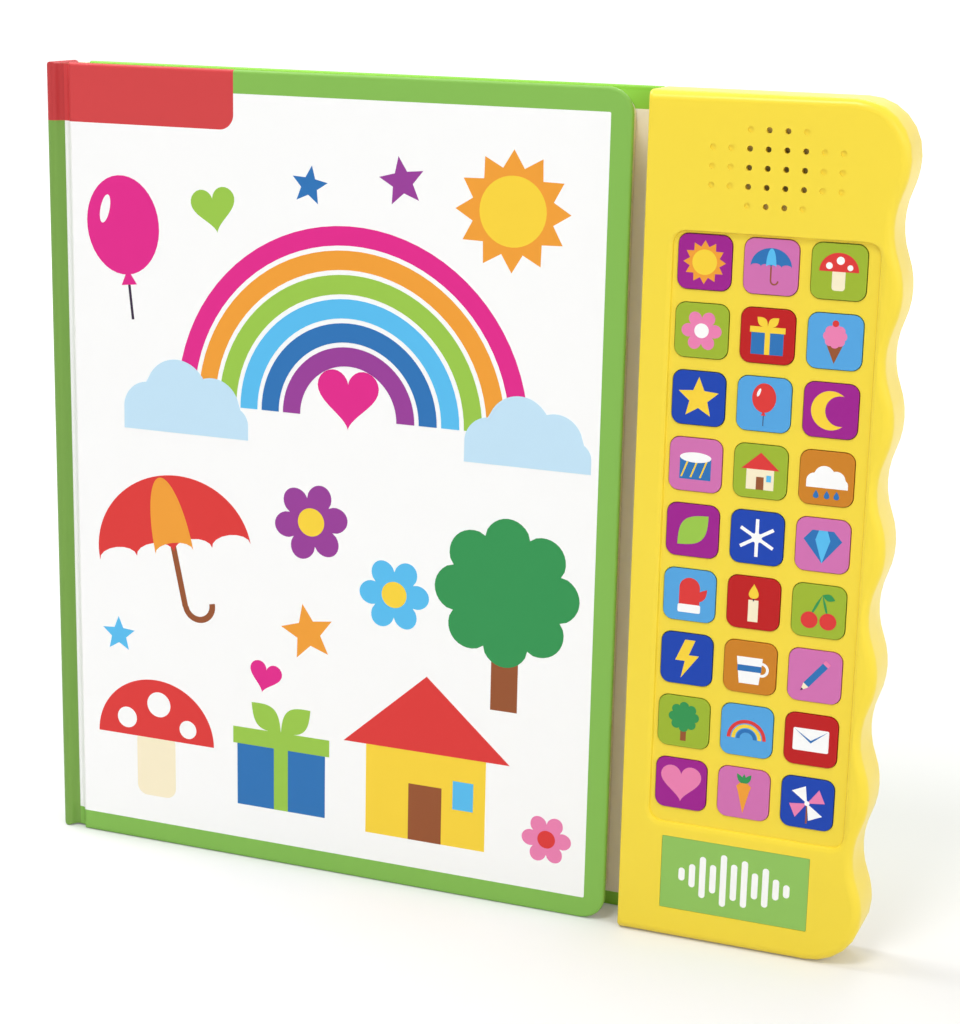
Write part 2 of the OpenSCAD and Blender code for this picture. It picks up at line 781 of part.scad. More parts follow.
front_cover();
front_pastedown();
spine();
front_joint();
rear_joint();
page_block();
back_cover();
rear_pastedown();
front_housing();
rear_housing();
front_label();
battery_door();
battery_door_screw();
housing_screws();
keypad();
circuit_board();
sound_chip();
speaker_frame();
speaker_cone();
speaker_magnet();
speaker_leads();
battery_upper();
battery_lower();
contact_springs();
contact_plates();
battery_leads();
for (r = [1 : key_rows]) for (c = [1 : key_cols])
    key(r, c);
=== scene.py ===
"""Look of a sound book that stands upright: printed covers, a moulded module and coloured keys."""

import math

import bmesh
import bpy
from mathutils import Matrix, Vector


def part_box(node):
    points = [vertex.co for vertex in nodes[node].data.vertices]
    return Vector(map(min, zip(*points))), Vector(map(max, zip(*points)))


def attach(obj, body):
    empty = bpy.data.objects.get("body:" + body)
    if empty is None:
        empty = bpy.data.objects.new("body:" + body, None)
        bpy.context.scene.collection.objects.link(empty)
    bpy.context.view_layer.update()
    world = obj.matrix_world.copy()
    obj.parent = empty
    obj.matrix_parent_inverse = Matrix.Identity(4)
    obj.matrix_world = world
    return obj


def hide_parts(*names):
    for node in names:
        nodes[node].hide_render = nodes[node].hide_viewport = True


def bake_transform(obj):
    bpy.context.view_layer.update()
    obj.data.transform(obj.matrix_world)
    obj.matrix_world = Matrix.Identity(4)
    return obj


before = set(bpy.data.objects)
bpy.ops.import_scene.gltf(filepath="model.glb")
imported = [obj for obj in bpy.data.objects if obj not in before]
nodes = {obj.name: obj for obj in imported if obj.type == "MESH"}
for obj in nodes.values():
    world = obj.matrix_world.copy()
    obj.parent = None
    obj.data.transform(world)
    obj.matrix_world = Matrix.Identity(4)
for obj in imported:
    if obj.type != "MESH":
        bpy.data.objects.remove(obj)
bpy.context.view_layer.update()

# The book's own millimetres: x from the spine, y up the page, out of the front cover's face
MM = 0.001
SPINE_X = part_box("spine")[0][0]
FACE_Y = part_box("front_cover")[0][1]


def at(x, y, out=0.0):
    """The point of the row frame at x, y and out in the book's millimetres."""
    return Vector((SPINE_X + x * MM, FACE_Y - out * MM, y * MM))


def book_box(node):
    """x0, x1, y0, y1 and the height of the front of a CAD node, in the book's millimetres."""
    lo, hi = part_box(node)
    return [(v - SPINE_X) / MM for v in (lo[0], hi[0])] + [lo[2] / MM, hi[2] / MM, (FACE_Y - lo[1]) / MM]


def depth_of(node):
    """Size of a CAD node from front to back, in millimetres."""
    lo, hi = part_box(node)
    return (hi[1] - lo[1]) / MM


COVER_LEFT, COVER_RIGHT, _, BOOK_H, _ = book_box("front_cover")
SPINE_W = book_box("spine")[1]
BOOK_T = depth_of("back_cover") - book_box("back_cover")[4]

# The cover's print: a white field inside a border, and the corner tab
FIELD_LEFT = 5.6
FIELD_R = 0.5
BORDER_TOP = 7.4
BORDER_RIGHT = 6.8
BORDER_BOTTOM = 7.1
TAB_RIGHT = 69.1
TAB_BOTTOM = 248.0
TAB_R = 5.0
# The coloured edge above and below the back cover's lining
LINING_TOP = 7.0
LINING_BOTTOM = 5.0
# How far a print that runs on over an edge is drawn past it
PAST_EDGE = 50.0

# Colours in sRGB, matched to the photograph where it shows the piece
INK = {
    "white": (253, 253, 252),
    "cream": (250, 238, 205),
    "green": (134, 188, 84),
    "back_green": (142, 208, 68),
    "red_tab": (211, 69, 71),
    # The spine's green and red are the border's and the tab's colours darkened to stand for shade on the
    # spine: painted shade
    "spine_green_painted_shade": (121, 163, 75),
    "spine_red_painted_shade": (193, 61, 63),
    "blue": (45, 115, 182),
    "magenta": (226, 40, 140),
    "orange": (242, 160, 55),
    "purple": (152, 62, 152),
    "lime": (155, 200, 75),
    "sky": (90, 190, 240),
    "pale_sky": (196, 228, 247),
    "red": (222, 58, 56),
    "yellow": (250, 213, 62),
    "brown": (150, 84, 48),
    "leaf": (52, 148, 82),
    "pink": (236, 130, 178),
    "dark": (58, 44, 66),
}
KEY_COLOURS = {
    "purple": (160, 28, 144),
    "pink": (213, 116, 180),
    "lime": (161, 186, 50),
    "red": (193, 24, 26),
    "sky": (86, 168, 228),
    "blue": (22, 68, 178),
    "orange": (208, 131, 34),
}
LINING_WHITE = (255, 247, 244)
PAGE_WHITE = (246, 242, 230)
PAGE_LINE = (176, 168, 150)
HOUSING_YELLOW = (251, 223, 62)
LABEL_GREEN = (146, 196, 96)
BOARD_GREENS = ((34, 110, 62), (30, 98, 56))
TRACK_GREEN = (62, 142, 84)
BATTERY_BLUE = (52, 62, 128)
BATTERY_GOLD = (200, 168, 92)
FLOOR_GREY = (226, 226, 226)


def linear(rgb):
    """An sRGB colour in bytes as a linear RGBA colour."""
    parts = [v / 255 for v in rgb]
    return [v / 12.92 if v <= 0.04045 else ((v + 0.055) / 1.055) ** 2.4 for v in parts] + [1.0]


# Materials


class Surface:
    """A principled material whose detail follows the piece's own coordinates, in metres."""

    def __init__(self, name, rgb, roughness=0.5, metallic=0.0):
        self.material = bpy.data.materials.new(name)
        self.material.use_nodes = True
        self.tree = self.material.node_tree
        self.shader = self.tree.nodes["Principled BSDF"]
        self.shader.inputs["Base Color"].default_value = linear(rgb)
        self.shader.inputs["Roughness"].default_value = roughness
        self.shader.inputs["Metallic"].default_value = metallic
        self.coords = self.tree.nodes.new("ShaderNodeTexCoord")

    def node(self, kind, *inputs, **settings):
        """A new node; each input is a socket to link, a value, or None."""
        made = self.tree.nodes.new("ShaderNode" + kind)
        for name, value in settings.items():
            setattr(made, name, value)
        for place, value in enumerate(inputs):
            if isinstance(value, bpy.types.NodeSocket):
                self.tree.links.new(value, made.inputs[place])
            elif value is not None:
                made.inputs[place].default_value = value
        return made

    def maths(self, operation, *inputs):
        """The result of a sum on numbers."""
        return self.node("Math", *inputs, operation=operation).outputs[0]

    def vector(self, operation, *inputs):
        """The result of a sum on vectors, which is a number for a length."""
        made = self.node("VectorMath", *inputs, operation=operation)
        return made.outputs["Value" if operation == "LENGTH" else "Vector"]

    def noise(self, scale, detail=2.0):
        """Soft noise from 0 to 1."""
        made = self.node("TexNoise", self.coords.outputs["Object"])
        made.inputs["Scale"].default_value = scale
        made.inputs["Detail"].default_value = detail
        return made.outputs["Fac"]

    def axis(self, name):
        """One coordinate of the surface in the piece's own frame."""
        return self.node("SeparateXYZ", self.coords.outputs["Object"]).outputs[name]

    def spread(self, value, lo, hi):
        """A value from 0 to 1 spread between lo and hi."""
        made = self.node("MapRange", value)
        made.inputs["To Min"].default_value = lo
        made.inputs["To Max"].default_value = hi
        return made.outputs[0]

    def mixed(self, factor, a, b):
        """Colour a where the factor is 0 and b where it is 1."""
        made = self.node("Mix", data_type="RGBA")
        for name, value in (("Factor_Float", factor), ("A_Color", a), ("B_Color", b)):
            socket = next(s for s in made.inputs if s.identifier == name)
            if isinstance(value, bpy.types.NodeSocket):
                self.tree.links.new(value, socket)
            else:
                socket.default_value = value
        return next(s for s in made.outputs if s.identifier == "Result_Color")

    def box_mask(self, lo, hi, r):
        """1 inside a rounded box on the page between two points of the row frame."""
        centre = (lo + hi) / 2
        core = (hi - lo) / 2 - Vector((r, 0, r))
        flat = self.vector("MULTIPLY", self.coords.outputs["Object"], (1, 0, 1))
        off = self.vector("SUBTRACT", flat, (centre.x, 0, centre.z))
        past = self.vector("SUBTRACT", self.vector("ABSOLUTE", off), (core.x, 0, core.z))
        return self.maths("LESS_THAN", self.vector("LENGTH", self.vector("MAXIMUM", past, (0, 0, 0))), r)

    def set(self, name, socket):
        """Link a socket to the shader's input of that name."""
        self.tree.links.new(socket, self.shader.inputs[name])
        return self

    def worn(self, lo, hi, scale):
        """Roughness that drifts between lo and hi."""
        return self.set("Roughness", self.spread(self.noise(scale, detail=3.0), lo, hi))

    def bumpy(self, scale, depth):
        """Fine relief of that depth in millimetres."""
        bump = self.node("Bump")
        bump.inputs["Distance"].default_value = depth * MM
        self.tree.links.new(self.noise(scale), bump.inputs["Height"])
        return self.set("Normal", bump.outputs[0])


# Specular level of each kind of surface
INK_GLOSS = 0.2
KEY_GLOSS = 0.2
HOUSING_GLOSS = 0.35
# Share of its light that moulded plastic keeps where its colour is deepest
DEEP_SHARE = 0.94
DEEP_SCALE = 12.0
# Thickness of a leaf, the share of it that its line takes, and how far a page edge may face the front
LEAF_T = 1.25
LEAF_LINE = 0.12
EDGE_FACING = 0.5
TRACK_SCALE = 220.0
# Width of the band at a battery's end
BATTERY_BAND = 12.0


def laminate(s):
    """Satin film over print."""
    s.shader.inputs["Specular IOR Level"].default_value = INK_GLOSS
    return s.worn(0.36, 0.48, scale=90.0).bumpy(scale=2600.0, depth=0.01).material


def ink(name, rgb):
    """Satin print of one colour."""
    return laminate(Surface(name, rgb))


def tabbed(s, below, tab_ink):
    """Satin print of the corner tab over the colour below it."""
    tab = s.box_mask(at(-PAST_EDGE, TAB_BOTTOM), at(TAB_RIGHT, BOOK_H + PAST_EDGE), TAB_R * MM)
    s.set("Base Color", s.mixed(tab, below, linear(INK[tab_ink])))
    return laminate(s)


def cover_print():
    """Green board with a white field and the red tab."""
    s = Surface("cover_print", INK["green"])
    field_top = at(COVER_RIGHT - BORDER_RIGHT, BOOK_H - BORDER_TOP)
    field = s.box_mask(at(FIELD_LEFT, BORDER_BOTTOM), field_top, FIELD_R * MM)
    return tabbed(s, s.mixed(field, linear(INK["green"]), linear(INK["white"])), "red_tab")


def spine_print():
    """The border and the tab run on over the spine in darkened copies of their colours, which are painted
    shade.
    """
    return tabbed(Surface("spine_print", INK["spine_green_painted_shade"]), linear(INK["spine_green_painted_shade"]), "spine_red_painted_shade")


def lining():
    """White paper inside a green edge."""
    s = Surface("lining", LINING_WHITE)
    paper_top = at(COVER_RIGHT + PAST_EDGE, BOOK_H - LINING_TOP)
    paper = s.box_mask(at(COVER_LEFT, LINING_BOTTOM), paper_top, FIELD_R * MM)
    s.set("Base Color", s.mixed(paper, linear(INK["back_green"]), linear(LINING_WHITE)))
    return s.worn(0.5, 0.62, scale=120.0).bumpy(scale=1800.0, depth=0.02).material


def pages():
    """A block of stiff pages: off-white faces, and edges that show each leaf."""
    s = Surface("pages", PAGE_WHITE)
    across = s.maths("FRACT", s.maths("DIVIDE", s.axis("Y"), LEAF_T * MM))
    line = s.maths("LESS_THAN", across, LEAF_LINE)
    facing = s.node("SeparateXYZ", s.coords.outputs["Normal"]).outputs["Y"]
    edge = s.maths("LESS_THAN", s.maths("ABSOLUTE", facing), EDGE_FACING)
    seam = s.maths("MULTIPLY", line, edge)
    s.set("Base Color", s.mixed(seam, linear(PAGE_WHITE), linear(PAGE_LINE)))
    return s.worn(0.55, 0.7, scale=150.0).bumpy(scale=1500.0, depth=0.02).material


def moulded(name, rgb, gloss):
    """Satin moulded plastic with a faint orange peel."""
    s = Surface(name, rgb)
    s.shader.inputs["Specular IOR Level"].default_value = gloss
    deep = [v * DEEP_SHARE for v in linear(rgb)[:3]] + [1.0]
    s.set("Base Color", s.mixed(s.noise(DEEP_SCALE), linear(rgb), deep))
    return s.worn(0.26, 0.36, scale=60.0).bumpy(scale=1400.0, depth=0.012).material


def matte(name, rgb):
    """Paper, rubber or other dull stuff."""
    return Surface(name, rgb).worn(0.55, 0.7, scale=200.0).bumpy(scale=3000.0, depth=0.01).material


def metal(name, rgb, lo=0.22, hi=0.4):
    """Plated or bare metal, its roughness between lo and hi."""
    s = Surface(name, rgb, metallic=1.0)
    return s.worn(lo, hi, scale=900.0).bumpy(scale=4000.0, depth=0.005).material


def circuit():
    """Green resist over a pattern of tracks."""
    s = Surface("board", BOARD_GREENS[0], roughness=0.4)
    tracks = s.node("TexBrick", s.coords.outputs["Object"], *[linear(green) for green in BOARD_GREENS])
    tracks.inputs["Mortar"].default_value = linear(TRACK_GREEN)
    tracks.inputs["Scale"].default_value = TRACK_SCALE
    s.set("Base Color", tracks.outputs["Color"])
    return s.bumpy(scale=3000.0, depth=0.01).material


def battery_wrap():
    """Plastic sleeve with a pale band at one end."""
    s = Surface("battery_wrap", BATTERY_BLUE, roughness=0.3)
    band_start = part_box("battery_upper")[1][0] - BATTERY_BAND * MM
    gold = s.maths("GREATER_THAN", s.axis("X"), band_start)
    s.set("Base Color", s.mixed(gold, linear(BATTERY_BLUE), linear(BATTERY_GOLD)))
    return s.bumpy(scale=1200.0, depth=0.01).material


INKS = {name: ink("ink_" + name, rgb) for name, rgb in INK.items()}
YELLOW = moulded("housing", HOUSING_YELLOW, HOUSING_GLOSS)
SCREW_STEEL = metal("screws", (186, 188, 192))
BRIGHT_METAL = metal("contacts", (205, 206, 208))
SILICONE = matte("silicone", (214, 214, 208))

NODE_MATERIALS = {
    "front_cover": cover_print(),
    "spine": spine_print(),
    "back_cover": ink("back_print", INK["back_green"]),
    "front_pastedown": matte("front_lining", (250, 247, 238)),
    "rear_pastedown": lining(),
    "page_block": pages(),
    "front_housing": YELLOW,
    "rear_housing": YELLOW,
    "battery_door": YELLOW,
    "front_label": ink("label", LABEL_GREEN),
    "battery_door_screw": SCREW_STEEL,
    "housing_screws": SCREW_STEEL,
    "keypad": SILICONE,
    "circuit_board": circuit(),
    "sound_chip": matte("chip", (26, 26, 28)),
    "speaker_frame": metal("speaker_steel", (150, 152, 156)),
    "speaker_cone": matte("speaker_paper", (255, 238, 180)),
    "speaker_magnet": metal("magnet", (84, 86, 90), lo=0.45, hi=0.6),
    "speaker_leads": matte("red_leads", (196, 46, 42)),
    "battery_leads": matte("black_leads", (36, 36, 40)),
    "battery_upper": battery_wrap(),
    "contact_springs": BRIGHT_METAL,
    "contact_plates": BRIGHT_METAL,
}
NODE_MATERIALS["battery_lower"] = NODE_MATERIALS["battery_upper"]

# CAD nodes
WELD = 0.001
# Angles in degrees, below which facets shade as one surface and above which an edge is rounded
SMOOTH_ANGLE = 32.0
ROUND_ANGLE = 40.0
SMALL_EDGE = 0.2
# Nodes that only shade smooth, and nodes whose edges are rounded too
SMOOTH = ["front_cover", "spine", "back_cover", "front_housing", "rear_housing", "page_block", "battery_door"]
ROUNDED = ["battery_upper", "battery_lower", "housing_screws", "battery_door_screw", "speaker_magnet"]


def make_smoothing():
    """Nodes that weld a piece's faces together and shade them smooth over the small angles."""
    tree = bpy.data.node_groups.new("smoothing", "GeometryNodeTree")
    for kind in ("INPUT", "OUTPUT"):
        tree.interface.new_socket("Geometry", in_out=kind, socket_type="NodeSocketGeometry")
    chain = [
        tree.nodes.new(kind)
        for kind in (
            "NodeGroupInput",
            "GeometryNodeMergeByDistance",
            "GeometryNodeSetShadeSmooth",
            "GeometryNodeSetShadeSmooth",
            "NodeGroupOutput",
        )
    ]
    weld, faces, edges = chain[1:4]
    weld.inputs["Distance"].default_value = WELD * MM
    faces.domain = "FACE"
    edges.domain = "EDGE"
    edges.inputs["Shade Smooth"].default_value = False
    sharp = tree.nodes.new("FunctionNodeCompare")
    sharp.operation = "GREATER_THAN"
    sharp.inputs["B"].default_value = math.radians(SMOOTH_ANGLE)
    turn = tree.nodes.new("GeometryNodeInputMeshEdgeAngle")
    tree.links.new(turn.outputs["Unsigned Angle"], sharp.inputs["A"])
    tree.links.new(sharp.outputs[0], edges.inputs["Selection"])
    for a, b in zip(chain, chain[1:]):
        tree.links.new(a.outputs[0], b.inputs[0])
    return tree


SMOOTHING = make_smoothing()


def soften(piece, edge=0.0):
    """Smooth shading over the small facets, and edges rounded by that many millimetres."""
    normals = piece.data.attributes.get("custom_normal")
    if normals:
        piece.data.attributes.remove(normals)
    piece.modifiers.new("smoothing", "NODES").node_group = SMOOTHING
    if edge:
        bevel = piece.modifiers.new("edge", "BEVEL")
        bevel.width = edge * MM
        bevel.segments = 3
        bevel.limit_method = "ANGLE"
        bevel.angle_limit = math.radians(ROUND_ANGLE)
    weights = piece.modifiers.new("normals", "WEIGHTED_NORMAL")
    weights.keep_sharp = True


def dress(name, material):
    """Give a CAD node one material."""
    piece = nodes[name]
    piece.data.materials.clear()
    piece.data.materials.append(material)


for name, material in NODE_MATERIALS.items():
    dress(name, material)
for name in SMOOTH:
    soften(nodes[name])
for name in ROUNDED:
    soften(nodes[name], SMALL_EDGE)

# Flat shapes
# An outline is a list of points that runs anticlockwise. A motif is a list of (ink, outline) about
# (0, 0), about 2 units wide; each shape lies on the one before it. A motif's function takes the inks
# of its main shapes.


def ellipse(x, y, rx, ry=None, a0=0.0, a1=360.0, steps=40):
    """An ellipse or, between two angles in degrees, an arc of it."""
    ry = rx if ry is None else ry
    full = abs(a1 - a0) >= 360
    turns = [math.radians(a0 + (a1 - a0) * k / steps) for k in range(steps if full else steps + 1)]
    return [(x + rx * math.cos(t), y + ry * math.sin(t)) for t in turns]


def box(x0, y0, x1, y1, r=0.0):
    """A box with corners of that radius."""
    if not r:
        return [(x0, y0), (x1, y0), (x1, y1), (x0, y1)]
    corners = ((x1 - r, y0 + r, -90), (x1 - r, y1 - r, 0), (x0 + r, y1 - r, 90), (x0 + r, y0 + r, 180))
    return [p for x, y, a in corners for p in ellipse(x, y, r, r, a, a + 90, 6)]


def star(x, y, r, points=5, inner=0.45):
    """A star; inner is the share of its radius at the notches."""
    radii = [r if k % 2 == 0 else r * inner for k in range(2 * points)]
    turns = [math.pi * (k / points + 0.5) for k in range(2 * points)]
    return [(x + q * math.cos(t), y + q * math.sin(t)) for q, t in zip(radii, turns)]


def scallop(x, y, r, lobes, depth, steps=96):
    """A closed outline of round lobes."""
    made = []
    for k in range(steps):
        t = 2 * math.pi * k / steps
        q = r * (1 - depth + depth * abs(math.cos(lobes * t / 2)) ** 0.7)
        made.append((x + q * math.cos(t), y + q * math.sin(t)))
    return made


def heart(x, y, r, steps=48):
    """The textbook heart curve, moved so that its middle is at x, y."""
    made = []
    for k in range(steps):
        t = -2 * math.pi * k / steps
        high = 13 * math.cos(t) - 5 * math.cos(2 * t) - 2 * math.cos(3 * t) - math.cos(4 * t)
        made.append((x + r * math.sin(t) ** 3, y + r * (high + 2.5) / 16))
    return made


def band(x, y, r, thick, a0=0.0, a1=180.0):
    """A stretch of a ring."""
    return ellipse(x, y, r, r, a0, a1) + ellipse(x, y, r - thick, r - thick, a1, a0)


def drop(x, y, r, steps=40):
    """A round drop that comes to a point at its top."""
    made = []
    for k in range(steps):
        t = 2 * math.pi * k / steps
        made.append((x + r * math.sin(t) * math.sin(t / 2) ** 1.6 * -0.95, y + r * math.cos(t)))
    return made


def lens(x0, y0, x1, y1, bulge, steps=16):
    """A leaf between two points."""
    dx, dy = x1 - x0, y1 - y0
    ends = [(k / steps, math.sin(math.pi * k / steps) * bulge) for k in range(steps + 1)]
    there = [(x0 + dx * s + dy * b, y0 + dy * s - dx * b) for s, b in ends]
    back = [(x0 + dx * s - dy * b, y0 + dy * s + dx * b) for s, b in reversed(ends[1:-1])]
    return there + back


def heap(bumps, base, steps=64):
    """Round bumps (x, y, r) that merge over a flat base."""
    lowest = base + 0.02
    left = min(x - r for x, _, r in bumps)
    right = max(x + r for x, _, r in bumps)
    made = []
    for k in range(steps + 1):
        u = right + (left - right) * (1 - math.cos(math.pi * k / steps)) / 2
        tops = [y + math.sqrt(max(0.0, r * r - (u - x) ** 2)) for x, y, r in bumps if abs(u - x) <= r]
        made.append((u, max([lowest] + tops)))
    return [(left, base), (right, base)] + made


def turned(outline, angle):
    """An outline turned about (0, 0) by an angle in degrees."""
    c, s = math.cos(math.radians(angle)), math.sin(math.radians(angle))
    return [(c * x - s * y, s * x + c * y) for x, y in outline]


def placed(motif, x, y, size, angle=0.0):
    """A motif moved to a place, size being half its width."""
    return [(name, [(x + size * u, y + size * v) for u, v in turned(o, angle)]) for name, o in motif]


CLOUD = [(-0.55, -0.15, 0.38), (-0.1, 0.1, 0.48), (0.45, -0.05, 0.42), (0.75, -0.25, 0.25)]
CROWN = scallop(0, 0.25, 0.75, 8, 0.2)
# An umbrella's canopy, which has a scallop below each gore
CANOPY_R = 0.95
GORES = 4
GORE_R = CANOPY_R / GORES
CANOPY = ellipse(0, 0, CANOPY_R, 0.85, 0, 180) + [
    point
    for k in range(GORES)
    for point in ellipse((2 * k + 1) * GORE_R - CANOPY_R, 0, GORE_R, 0.12, 180, 0, 8)[1:]
]


def umbrella(a, b):
    hook = band(0.17, -0.62, 0.2, 0.07, 180, 360)
    gore = ellipse(0, 0, GORE_R, 0.83, 0, 180) + ellipse(0, 0, GORE_R, 0.1, 180, 0, 8)[1:-1]
    return [("brown", box(-0.035, -0.62, 0.035, 0.1)), ("brown", hook), (a, CANOPY), (b, gore)]


def stars(a):
    return [(a, star(0, 0, 1.0))]


def hearts(a):
    return [(a, heart(0, 0, 1.0))]


def leaf(a):
    return [(a, lens(-0.7, -0.7, 0.75, 0.75, 0.3))]


def flower(a, b):
    return [(a, scallop(0, 0, 0.95, 6, 0.38)), (b, ellipse(0, 0, 0.34))]


def balloon(a):
    return [
        ("dark", box(-0.02, -1.0, 0.02, -0.2)),
        (a, [(-0.12, -0.52), (0.12, -0.52), (0, -0.3)]),
        (a, ellipse(0, 0.3, 0.56, 0.68)),
        ("white", turned(ellipse(-0.42, 0.42, 0.07, 0.2), -20)),
    ]


def mushroom(a):
    return [
        ("cream", box(-0.3, -0.85, 0.3, 0.1, 0.15)),
        (a, ellipse(0, 0, 0.9, 0.85, 0, 180)),
        ("white", ellipse(-0.45, 0.25, 0.15)),
        ("white", ellipse(0.05, 0.5, 0.18)),
        ("white", ellipse(0.5, 0.2, 0.13)),
    ]


def house(wall, roof):
    return [
        (wall, box(-0.65, -0.85, 0.65, 0.15)),
        (roof, [(-0.9, 0.1), (0.9, 0.1), (0, 0.9)]),
        ("brown", box(-0.18, -0.85, 0.18, -0.25)),
        ("sky", box(0.3, -0.45, 0.52, -0.15)),
    ]


def tree(crown):
    return [("brown", box(-0.14, -0.95, 0.14, 0.0)), (crown, CROWN)]


def gift(a, b):
    return [
        (a, box(-0.75, -0.85, 0.75, 0.3)),
        (b, box(-0.12, -0.85, 0.12, 0.3)),
        (b, box(-0.82, 0.15, 0.82, 0.42)),
        (b, lens(0, 0.42, -0.5, 0.85, 0.3)),
        (b, lens(0, 0.42, 0.5, 0.85, 0.3)),
    ]


def sun(rays, disc):
    return [(rays, star(0, 0, 1.0, 12, 0.72)), (disc, ellipse(0, 0, 0.58))]


def cloud(a, rain=None):
    drops = [(rain, drop(x, -0.75, 0.2)) for x in (-0.45, 0.05, 0.5)] if rain else []
    return [(a, heap(CLOUD, -0.45))] + drops


def moon(a):
    """A round disc less a bay whose edge meets it at two horns."""
    r, horn = 0.9, 50
    bay_x = 0.45
    reach = r * math.cos(math.radians(horn)) - bay_x
    rise = r * math.sin(math.radians(horn))
    bay_r = math.hypot(reach, rise)
    lean = math.degrees(math.atan2(rise, reach))
    bay = ellipse(bay_x, 0, bay_r, bay_r, 360 - lean, lean)
    return [(a, ellipse(0, 0, r, r, horn, 360 - horn) + bay[1:-1])]


def cone(a, b):
    return [
        ("brown", [(-0.42, -0.05), (0, -1.0), (0.42, -0.05)]),
        (a, scallop(0, 0.25, 0.55, 8, 0.12)),
        (b, ellipse(0, 0.82, 0.15)),
    ]


def drum(a, b):
    laces = [(b, [(x, -0.6), (x + 0.08, -0.6), (x + 0.38, 0.2), (x + 0.3, 0.2)]) for x in (-0.7, -0.25, 0.2)]
    return [(a, box(-0.75, -0.7, 0.75, 0.35)), *laces, ("white", ellipse(0, 0.35, 0.75, 0.24))]


def candle(a, b):
    wick = box(-0.03, 0.1, 0.03, 0.35)
    return [(a, box(-0.24, -0.9, 0.24, 0.15)), ("dark", wick), (b, drop(0, 0.58, 0.36))]


def cherries(a):
    return [
        ("leaf", lens(-0.4, -0.3, 0.15, 0.8, 0.05)),
        ("leaf", lens(0.45, -0.3, 0.15, 0.8, 0.05)),
        (a, ellipse(-0.42, -0.45, 0.4)),
        (a, ellipse(0.46, -0.45, 0.4)),
        ("leaf", lens(0.15, 0.8, 0.75, 0.6, 0.25)),
    ]


def cup(a, b):
    return [
        (a, band(0.55, -0.05, 0.36, 0.13, -100, 100)),
        (a, [(-0.5, -0.8), (0.45, -0.8), (0.6, 0.5), (-0.65, 0.5)]),
        (b, box(-0.6, -0.2, 0.55, 0.1)),
    ]


def pencil(a):
    return [
        (part, turned(outline, -40))
        for part, outline in (
            (a, box(-0.16, -0.6, 0.16, 0.75)),
            ("cream", [(-0.16, -0.6), (0, -1.0), (0.16, -0.6)]),
            ("dark", [(-0.06, -0.85), (0, -1.0), (0.06, -0.85)]),
            ("pink", box(-0.16, 0.75, 0.16, 0.95)),
        )
    ]


def envelope(a, b):
    return [(a, box(-0.85, -0.55, 0.85, 0.55, 0.08)), (b, [(-0.8, 0.5), (0, -0.15), (0.8, 0.5), (0, -0.02)])]


def carrot(a):
    leaves = [("leaf", lens(0, 0.45, x, 0.98, 0.2)) for x in (-0.35, 0.0, 0.35)]
    right = [(0, -1.0), (0.28, 0.12), (0.36, 0.35), (0.2, 0.52)]
    return leaves + [(a, right + [(-x, y) for x, y in right[:0:-1]])]


def gem(a, b):
    return [
        (a, [(-0.9, 0.25), (0, -0.85), (0.9, 0.25), (0.5, 0.7), (-0.5, 0.7)]),
        (b, [(-0.35, 0.25), (0, -0.85), (0.35, 0.25), (0.2, 0.7), (-0.2, 0.7)]),
    ]


def mitten(a, b):
    hand = heap([(0, 0.35, 0.5)], -0.5)
    return [(a, hand), (a, lens(0.3, -0.35, 0.85, 0.35, 0.22)), (b, box(-0.55, -0.85, 0.55, -0.45, 0.08))]


def snowflake(a):
    arms = [(a, turned(box(-0.08, -0.9, 0.08, 0.9), t)) for t in (0, 60, 120)]
    return arms + [(a, star(0, 0, 0.45, 6, 0.5))]


def pinwheel(a, b):
    sails = [(n, turned([(0, 0), (0.85, 0.1), (0.55, 0.75)], 90 * k)) for k, n in enumerate((a, b, a, b))]
    return [("brown", box(-0.04, -1.0, 0.04, 0)), *sails, ("white", ellipse(0, 0, 0.12))]


def arches(inks, r, thick, gap):
    """Half rings, one inside the other."""
    return [(n, band(0, 0, r - k * (thick + gap), thick)) for k, n in enumerate(inks)]


def bolt(a):
    left = [(-0.1, 0.95), (-0.55, -0.1), (-0.08, -0.1)]
    return [(a, left + [(-0.25, -0.95), (0.6, 0.2), (0.1, 0.2), (0.4, 0.95)])]


# New pieces
# Angle from which an edge stays sharp, and the thickness of one layer of print
SHARP = math.radians(50)
INK_T = 0.015


def skinned(mesh, rings):
    """A closed solid through rings of points (x, y, out): its faces from ring to ring, and its two ends."""
    loops = [[mesh.verts.new(at(*point)) for point in ring] for ring in rings]
    bands = [
        [mesh.faces.new((a[k - 1], a[k], b[k], b[k - 1])) for k in range(len(a))]
        for a, b in zip(loops, loops[1:])
    ]
    return bands, [mesh.faces.new(loops[0][::-1]), mesh.faces.new(loops[-1])]


def new_piece(name, mesh, materials):
    """An object of that mesh, with its faces turned outwards and its sharp edges kept."""
    bmesh.ops.recalc_face_normals(mesh, faces=mesh.faces)
    for edge in mesh.edges:
        edge.smooth = edge.calc_face_angle() < SHARP
    data = bpy.data.meshes.new(name)
    mesh.to_mesh(data)
    mesh.free()
    for material in materials:
        data.materials.append(material)
    piece = bpy.data.objects.new(name, data)
    bpy.context.scene.collection.objects.link(piece)
    return piece


def printed(name, body, shapes, out):
    """One piece of thin print on a face; shapes are (ink, outline, layer), out is the face's height."""
    mesh = bmesh.new()
    inks = sorted({shape[0] for shape in shapes})
    for ink_name, outline, layer in shapes:
        top = out + INK_T * (layer + 1)
        bands, ends = skinned(mesh, [[(x, y, h) for x, y in outline] for h in (out, top)])
        for face in bands[0] + ends:
            face.material_index = inks.index(ink_name)
    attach(new_piece(name, mesh, [INKS[ink_name] for ink_name in inks]), body)


def layered(motif, x, y, size, angle=0.0, under=0):
    """A motif's shapes with their layers, over that many layers of print below."""
    return [(n, o, layer + under) for layer, (n, o) in enumerate(placed(motif, x, y, size, angle))]


# Cover art
BOW = ["magenta", "orange", "lime", "sky", "blue", "purple"]
